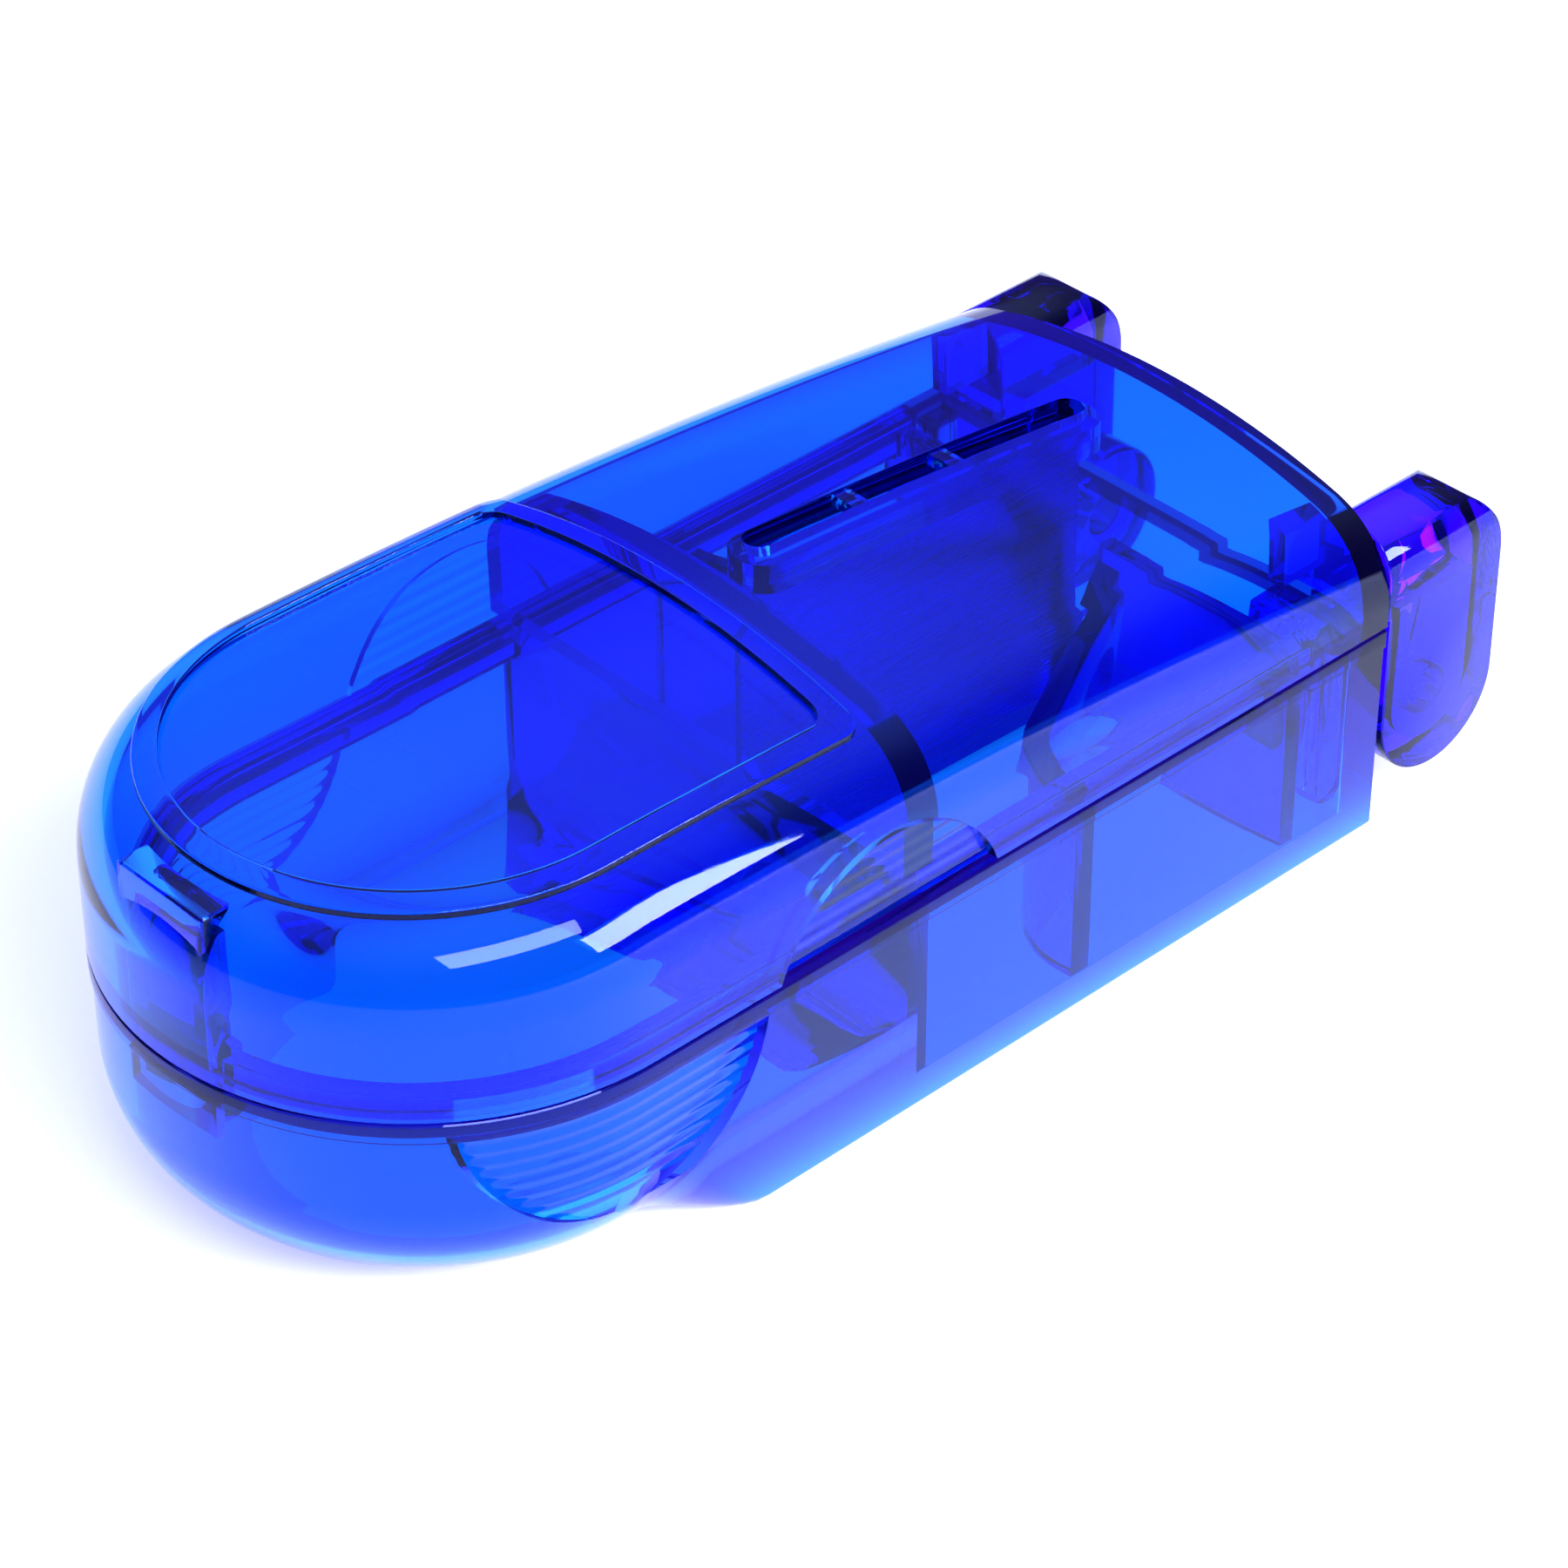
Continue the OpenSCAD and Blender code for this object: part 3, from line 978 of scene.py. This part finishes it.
    def hollow(self, y_end: float, corner: float) -> bpy.types.Object:
        """Makes the space inside the tub in front of the partition.

        Args:
            y_end: Where the space ends.
            corner: Radius between wall and floor.

        Returns:
            The space as a closed solid.
        """
        bm = bmesh.new()
        side = self.half_w - self.step - self.wall + AIR
        low = self.floor - AIR
        high = self.rim_z + PAST
        y = self.nose_y
        tip = chain(bm, Vector((0, y, low)))
        tip = line_to(bm, tip, Vector((side - corner, y, low)))
        centre = Vector((side - corner, y, low + corner))
        tip = arc_to(bm, tip, centre, Vector((0, 1, 0)), -90, QUARTER_STEPS)
        tip = line_to(bm, tip, Vector((side, y, high)))
        line_to(bm, tip, Vector((0, y, high)))
        swing_nose(bm, y)
        run_back(bm, y, y_end)
        return scratch(bm)

    def build_tub(self) -> None:
        """Builds the tub with its spaces, scoops, latch recess and blade groove."""
        tub = self.outside()
        combine(tub, self.hollow(self.part_y, self.bowl_r), Cut.AWAY)
        inner = self.half_w - self.step - self.wall + AIR
        rear = self.rear_y - self.wall + AIR
        # The two spaces overlap by a hair, so that no skin is left between them.
        front = self.part_y - 0.001
        chamber = block((-inner, front, self.floor - AIR), (inner, rear, self.rim_z + PAST))
        upright = [e for e in chamber.edges if abs((e.verts[0].co - e.verts[1].co).z) > 1]
        corners = [e for e in upright if e.verts[0].co.y > self.part_y + 1]
        soften(chamber, corners, self.chamber_r, 4)
        combine(tub, scratch(chamber), Cut.AWAY)
        front = self.nose_y - self.half_w + self.step + self.wall
        half = self.tongue_w / 2 + self.recess_play
        recess = block(
            (-half, front + self.recess_y[0], self.recess_z[0]),
            (half, front + self.recess_y[1], self.recess_z[1]),
        )
        combine(tub, scratch(recess), Cut.AWAY)
        front = self.blade_y - self.groove_ends[0]
        rear = self.blade_y + self.blade_len + self.groove_ends[1]
        groove = block(
            (-self.groove_half, front, self.floor - self.groove_depth),
            (self.groove_half, rear, self.floor + self.groove_depth),
        )
        combine(tub, scratch(groove), Cut.AWAY)
        FingerScoop(
            y=-25.2,
            z=14.0,
            radius=9.3,
            outer=self.half_w - self.step,
            nose_y=self.nose_y,
            low_z=0.5,
            high_z=self.rim_z - self.band_h,
            ridge_z=6.0,
            count=8,
        ).carve(tub)
        tidy_mesh(tub)
        smooth(tub.data)
        self.shop.finish(
            tub,
            "base_shell_piece",
            Body.BASE,
            Slot.CLEAR,
            ["base_shell", "base_grip_left", "base_grip_right"],
        )

    def build(self) -> None:
        """Builds every piece of the base."""
        self.build_tub()
        copy = self.shop.from_frame
        copy("locating_lip", Body.BASE, Slot.SHADED, 0.15)
        copy("compartment_partition", Body.BASE, Slot.SHADED, 0.25)
        copy("rear_bulkhead", Body.BASE, Slot.SHADED, 0.2)
        for side in ("left", "right"):
            copy(f"jaw_{side}", Body.BASE, Slot.CLEAR, 0.25)
            copy(f"corner_gusset_{side}", Body.BASE, Slot.CLEAR, 0.2)
            copy(f"knuckle_{side}", Body.BASE, Slot.SHADED, 0.25)


@dataclass
class LidMoulding:
    """The upper half: an arched cap with a window land, a partition, a latch and two hinge ears.

    Attributes:
        shop: Where its pieces are finished.
        half_w: Half of the width.
        wall: Thickness of the cap.
        peak_z: Highest point of the cap.
        crown_r: Radius of the crown across the width.
        shoulder_r: Radius of the shoulder.
        arch_r: Radius of the arch along the length.
        nose_y: Where the straight sides begin.
        rear_y: The rear face.
        rear_r: Radius between the cap's top and its rear face.
        low_z: The lower rim.
        spare: How far the cap is first built below its rim, before it is cut level.
        arch_deg: Turn of the arch, enough to pass the rear face.
        part_y: Middle of the partition.
        land_h: Height of the window land.
        land_out: Half of the land's width.
        land_w: Width of the land's border.
        land_r: Radius on its upper edges.
        plan_r: Radius of the land's rear corners.
        pad_w: Width of the pad over the latch.
        pad_in: How far its front stands behind the tip of the nose.
        pad_depth: Length of the pad.
        pad_z: Height of the pad's top.
        pad_h: Thickness of the pad.
        pad_r: Radius on its edges.
        slot_w: Width of the slot over the blade.
        slot_len: Length of the slot.
        slot_y: Middle of the slot.
        slot_z: Lowest and highest point of the tool that opens it.
    """

    shop: Workshop
    half_w: float = 18.0
    wall: float = 1.5
    peak_z: float = 27.0
    crown_r: float = 50.0
    shoulder_r: float = 6.0
    arch_r: float = 404.0
    nose_y: float = -24.0
    rear_y: float = 32.0
    rear_r: float = 0.5
    low_z: float = 14.2
    spare: float = 3.0
    arch_deg: float = 8.6
    part_y: float = -4.3
    land_h: float = 0.35
    land_out: float = 14.8
    land_w: float = 1.4
    land_r: float = 0.28
    plan_r: float = 1.2
    pad_w: float = 7.0
    pad_in: float = 0.9
    pad_depth: float = 2.4
    pad_z: float = 24.2
    pad_h: float = 4.0
    pad_r: float = 0.3
    slot_w: float = 1.9
    slot_len: float = 26.0
    slot_y: float = 12.1
    slot_z: tuple[float, float] = (18.0, 30.0)

    def cap(self, off: float, low: float, rear: float) -> bpy.types.Object:
        """Makes the cap as a closed solid, drawn in by an offset.

        Args:
            off: How far the faces are moved in; negative moves them out.
            low: Height of its underside.
            rear: Its rear end.

        Returns:
            The solid.
        """
        bm = bmesh.new()
        y = self.nose_y
        across = Vector((0, 1, 0))
        shoulder_x = self.half_w - self.shoulder_r
        reach = self.crown_r - self.shoulder_r
        turn = math.degrees(math.asin(shoulder_x / reach))
        crown_z = self.peak_z - self.crown_r
        shoulder_z = crown_z + math.sqrt(reach**2 - shoulder_x**2)
        foot_z = low - self.spare
        tip = chain(bm, Vector((0, y, self.peak_z - off)))
        tip = arc_to(bm, tip, Vector((0, y, crown_z)), across, turn, 14)
        tip = arc_to(bm, tip, Vector((shoulder_x, y, shoulder_z)), across, 90 - turn, 20)
        line_to(bm, tip, Vector((tip.co.x, y, foot_z)))
        swing_nose(bm, y, 80)
        section = [
            e
            for e in in_plane(bm, 1, y)
            if not all(abs(v.co.z - foot_z) < SAME for v in e.verts)
        ]
        bmesh.ops.spin(
            bm,
            geom=section + list({v for e in section for v in e.verts}),
            cent=(0, y, self.peak_z - self.arch_r),
            axis=(-1, 0, 0),
            angle=math.radians(self.arch_deg),
            steps=44,
        )
        bmesh.ops.remove_doubles(bm, verts=bm.verts, dist=SAME)
        for spot, way in (((0, rear, 0), (0, 1, 0)), ((0, 0, low), (0, 0, -1))):
            everything = bm.verts[:] + bm.edges[:] + bm.faces[:]
            bmesh.ops.bisect_plane(
                bm, geom=everything, plane_co=spot, plane_no=way, clear_outer=True
            )
        bmesh.ops.remove_doubles(bm, verts=bm.verts, dist=SAME)
        feet = [v for v in bm.verts if abs(v.co.y - rear) < SAME and abs(v.co.z - low) < SAME]
        bmesh.ops.contextual_create(bm, geom=feet)
        bmesh.ops.contextual_create(bm, geom=in_plane(bm, 1, rear))
        bmesh.ops.contextual_create(bm, geom=in_plane(bm, 2, low))
        return scratch(bm, "lid_shell_piece")

    def plan_prism(self, radius: float, rear: float, low: float, high: float) -> bpy.types.Object:
        """Makes an upright D-shaped prism that follows the plan of the cap.

        Args:
            radius: Half of its width.
            rear: Its rear end.
            low: Its underside.
            high: Its top.

        Returns:
            The prism.
        """
        bm = bmesh.new()
        first = chain(bm, Vector((radius, self.nose_y, low)))
        centre = Vector((0, self.nose_y, low))
        tip = arc_to(bm, first, centre, Vector((0, 0, 1)), -180, NOSE_STEPS)
        tip = line_to(bm, tip, Vector((-radius, rear, low)))
        tip = line_to(bm, tip, Vector((radius, rear, low)))
        raise_plan(bm, tip, first, high - low)
        back = [
            e
            for e in bm.edges
            if abs(e.verts[0].co.z - e.verts[1].co.z) > 1 and e.verts[0].co.y > rear - 0.01
        ]
        soften(bm, back, self.plan_r, 5)
        return scratch(bm)

    def build_shell(self) -> None:
        """Builds the cap with its land, blade slot and finger scoops."""
        shell = self.cap(0.0, self.low_z, self.rear_y)
        self.round_rear(shell)
        # The land is a slice of a slightly larger cap, deep enough to sink into the shell.
        land = self.cap(-self.land_h, self.low_z + 2, self.rear_y - 4)
        rear = self.part_y - 2
        low, high = 18, 30
        combine(land, self.plan_prism(self.land_out, rear, low, high), Cut.KEEP)
        inner = self.land_out - self.land_w
        window = self.plan_prism(inner, rear - self.land_w, low - 8, high + 10)
        combine(land, window, Cut.AWAY)
        self.round_land(land)
        combine(shell, land, Cut.JOIN)
        combine(shell, scratch(self.pad()), Cut.JOIN)
        inside = self.cap(self.wall - AIR, self.low_z - 4, self.rear_y - self.wall + AIR)
        combine(shell, inside, Cut.AWAY)
        combine(shell, self.slot_tool(), Cut.AWAY)
        FingerScoop(
            y=-7.3,
            z=11.4,
            radius=8.4,
            outer=self.half_w,
            nose_y=self.nose_y,
            low_z=self.low_z - 1,
            high_z=21.0,
            ridge_z=self.low_z + 0.3,
            count=6,
            rise=0.03,
        ).carve(shell)
        tidy_mesh(shell)
        smooth(shell.data)
        self.shop.finish(
            shell,
            "lid_shell_piece",
            Body.LID,
            Slot.CLEAR,
            ["lid_shell", "window_land", "lid_grip_left", "lid_grip_right"],
        )

    def round_land(self, land: bpy.types.Object) -> None:
        """Rounds the upper edges of the land, so that they catch the light.

        Args:
            land: The loose land, before it is joined to the shell.
        """
        bm = bmesh.new()
        bm.from_mesh(land.data)
        bmesh.ops.remove_doubles(bm, verts=bm.verts, dist=0.003 * MM)
        # Its upper edges are those that border a face turned upwards, well above the rim.
        above_z = 20.0 * MM
        edges = [
            e
            for e in sharp_edges(bm, 60.0)
            if max(f.normal.z for f in e.link_faces) > 0.6
            and min(v.co.z for v in e.verts) > above_z
        ]
        soften(bm, edges, self.land_r * MM, 4)
        bm.to_mesh(land.data)
        bm.free()

    def pad(self) -> bmesh.types.BMesh:
        """Makes the flat-topped pad over the latch, which breaks through the shoulder.

        Returns:
            The pad.
        """
        half, top = self.pad_w / 2, self.pad_z
        front = self.nose_y - self.half_w + self.pad_in
        low = (-half, front, top - self.pad_h)
        return block(low, (half, front + self.pad_depth, top), self.pad_r)

    def round_rear(self, shell: bpy.types.Object) -> None:
        """Rounds the edge between the cap's top and its rear face.

        Args:
            shell: The closed cap, before anything is cut from it.
        """
        bm = bmesh.new()
        bm.from_mesh(shell.data)
        rear, low = self.rear_y * MM, self.low_z * MM
        near = 0.001 * MM
        edges = [
            e
            for e in bm.edges
            if all(abs(v.co.y - rear) < near for v in e.verts)
            and not all(abs(v.co.z - low) < near for v in e.verts)
        ]
        soften(bm, edges, self.rear_r * MM, 4)
        bm.to_mesh(shell.data)
        bm.free()

    def slot_tool(self) -> bpy.types.Object:
        """Makes the obround tool that opens the slot over the blade.

        Returns:
            The tool.
        """
        bm = bmesh.new()
        half = self.slot_w / 2 - AIR
        reach = self.slot_len / 2 - half
        low, high = self.slot_z
        up = Vector((0, 0, 1))
        first = chain(bm, Vector((half, self.slot_y + reach, low)))
        tip = arc_to(bm, first, Vector((0, self.slot_y + reach, low)), up, 180, 24)
        tip = line_to(bm, tip, Vector((-half, self.slot_y - reach, low)))
        tip = arc_to(bm, tip, Vector((0, self.slot_y - reach, low)), up, 180, 24)
        raise_plan(bm, tip, first, high - low)
        return scratch(bm)

    def build(self) -> None:
        """Builds every piece of the lid."""
        self.build_shell()
        copy = self.shop.from_frame
        copy("lid_partition", Body.LID, Slot.SHADED, 0.0)
        copy("latch_tongue", Body.LID, Slot.SHADED, 0.15)
        copy("blade_carrier", Body.LID, Slot.CLEAR, 0.0)
        copy("blade_clips", Body.LID, Slot.CLEAR, 0.0)
        for side in ("left", "right"):
            copy(f"hinge_ear_{side}", Body.LID, Slot.SHADED, 0.5)
            copy(f"hinge_pin_{side}", Body.LID, Slot.SHADED, 0.2)
            copy(f"lid_rib_{side}", Body.LID, Slot.SHADED, 0.0)


@dataclass
class Blade:
    """Thin steel strip with a ground edge.

    Attributes:
        shop: Where it is finished.
    """

    shop: Workshop

    def build(self) -> None:
        """Builds the blade."""
        self.shop.from_frame("blade", Body.LID, Slot.STEEL, 0.0)


# ---------------------------------------------------------------- studio


@dataclass(frozen=True)
class Softbox:
    """Rectangular soft light.

    Attributes:
        name: Its name.
        place: Its position.
        size: Its width and height.
        watts: Its power.
        aim: The point it faces.
    """

    name: str
    place: tuple[float, float, float]
    size: tuple[float, float]
    watts: float
    aim: tuple[float, float, float] = (0.0, -20.0, 20.0)

    def build(self) -> None:
        """Hangs the light and turns it to its aim."""
        data = bpy.data.lights.new(self.name, "AREA")
        data.shape = "RECTANGLE"
        data.size = self.size[0] * MM
        data.size_y = self.size[1] * MM
        data.energy = self.watts
        lamp = bpy.data.objects.new(self.name, data)
        bpy.context.scene.collection.objects.link(lamp)
        lamp.location = Vector(self.place) * MM
        way = Vector(self.aim) - Vector(self.place)
        lamp.rotation_euler = way.to_track_quat("-Z", "Y").to_euler()


@dataclass
class Studio:
    """Pale floor, cool surroundings, soft lights and the camera.

    Attributes:
        azimuth: Camera's turn from the front towards the right, in degrees.
        elevation: Camera's height above the table, in degrees.
        distance: Camera's distance from the point it looks at.
        aim: The point it looks at.
        lens: Focal length on a 36 mm sensor.
        shift: Sideways and upward shift of the camera's frame.
        floor_half: Half of the floor's width.
        ceiling_light: Brightness straight above.
        wall_light: Brightness towards the horizon, as a part of the ceiling's.
        high_light: Brightness well above the horizon, as a part of the ceiling's.
        sky: Colour of the light from above.
        dusk: Colour of the light from the sides.
        lamps: The soft lights.
    """

    azimuth: float = 46.6025
    elevation: float = 36.5562
    distance: float = 294.88
    aim: tuple[float, float, float] = (0.0, 1.88, 9.5)
    lens: float = 120.8
    shift: tuple[float, float] = (0.00053, -0.00661)
    floor_half: float = 1500.0
    ceiling_light: float = 2.1
    wall_light: float = 0.32
    high_light: float = 0.75
    sky: str = "#C4D2FF"
    dusk: str = "#6450F0"
    lamps: tuple[Softbox, ...] = (
        Softbox("window", (521.0, 222.0, 252.0), (232.0, 190.0), 6.4),
        Softbox("front", (434.0, -81.0, 458.0), (440.0, 150.0), 5.0),
    )

    def camera(self) -> None:
        """Places the camera."""
        a = math.radians(self.azimuth)
        e = math.radians(self.elevation)
        back = Vector((math.sin(a) * math.cos(e), -math.cos(a) * math.cos(e), math.sin(e)))
        data = bpy.data.cameras.new("camera")
        data.sensor_width = 36.0
        data.lens = self.lens
        data.shift_x, data.shift_y = self.shift
        data.clip_start = 0.01
        eye = bpy.data.objects.new("camera", data)
        bpy.context.scene.collection.objects.link(eye)
        eye.location = (Vector(self.aim) + back * self.distance) * MM
        eye.rotation_euler = (-back).to_track_quat("-Z", "Y").to_euler()
        bpy.context.scene.camera = eye

    def floor(self) -> None:
        """Lays the floor a hairline above the CAD's table, clear of the case's underside."""
        bm = bmesh.new()
        bmesh.ops.create_grid(bm, x_segments=1, y_segments=1, size=self.floor_half)
        bmesh.ops.translate(bm, vec=(0, 0, AIR), verts=bm.verts)
        plane = scratch(bm, "floor")
        plane.data.materials.append(MattPaper().build())

    def surroundings(self) -> None:
        """Sets the surroundings, pale above and dusky at the sides, and the light paths.

        Clear plastic needs many steps along each path, because a ray crosses several walls.
        """
        world = bpy.data.worlds.new("pale_room")
        bpy.context.scene.world = world
        world.use_nodes = True
        tree = world.node_tree
        way = add_node(tree, "ShaderNodeTexCoord").outputs["Generated"]
        height = add_node(tree, "ShaderNodeSeparateXYZ", links={"Vector": way}).outputs["Z"]
        ramp = add_node(tree, "ShaderNodeValToRGB", links={"Fac": height})
        ramp.color_ramp.interpolation = "B_SPLINE"
        cool, dusk = linear(self.sky), linear(self.dusk)
        # Each stop is a height of the direction, a brightness and a colour.
        stops = (
            (0.0, self.wall_light, dusk),
            (0.5, self.wall_light, dusk),
            (0.8, self.high_light, cool),
            (1.0, 1.0, cool),
        )
        while len(ramp.color_ramp.elements) < len(stops):
            ramp.color_ramp.elements.new(0.5)
        for element, (place, value, hue) in zip(ramp.color_ramp.elements, stops):
            element.position = place
            element.color = tuple(value * part for part in hue[:3]) + (1.0,)
        sky = tree.nodes["Background"]
        sky.inputs["Strength"].default_value = self.ceiling_light
        tree.links.new(ramp.outputs["Color"], sky.inputs["Color"])
        scene = bpy.context.scene
        scene.view_settings.view_transform = "Standard"
        cycles = scene.cycles
        cycles.max_bounces = 24
        cycles.transmission_bounces = 24
        cycles.glossy_bounces = 6
        cycles.diffuse_bounces = 3
        cycles.sample_clamp_indirect = 6.0

    def build(self) -> None:
        """Builds the whole studio."""
        self.camera()
        self.floor()
        self.surroundings()
        for lamp in self.lamps:
            lamp.build()


def main() -> None:
    """Loads the frame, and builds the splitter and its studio."""
    logging.basicConfig(level=logging.INFO, format="%(name)s: %(message)s")
    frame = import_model()
    Studio().build()
    clear = ClearPlastic("clear_blue_styrene", tint="#1EB2FF", dye="#D03FF8", density=190.0)
    # Darker copy of the clear plastic, darker tint and denser dye: painted shade on thick parts.
    deep = ClearPlastic(
        "shaded_blue_styrene", tint="#4640FF", dye="#E626F8", density=420.0, parting_shade_mm=(0.0, 0.0)
    )
    finishes = {Slot.CLEAR: clear, Slot.SHADED: deep, Slot.STEEL: GroundSteel()}
    shop = Workshop({slot: finish.build() for slot, finish in finishes.items()}, frame["nodes"])
    BaseMoulding(shop).build()
    LidMoulding(shop).build()
    Blade(shop).build()
    LOG.info("%d pieces", len(shop.made))


if __name__ == "__main__":
    main()
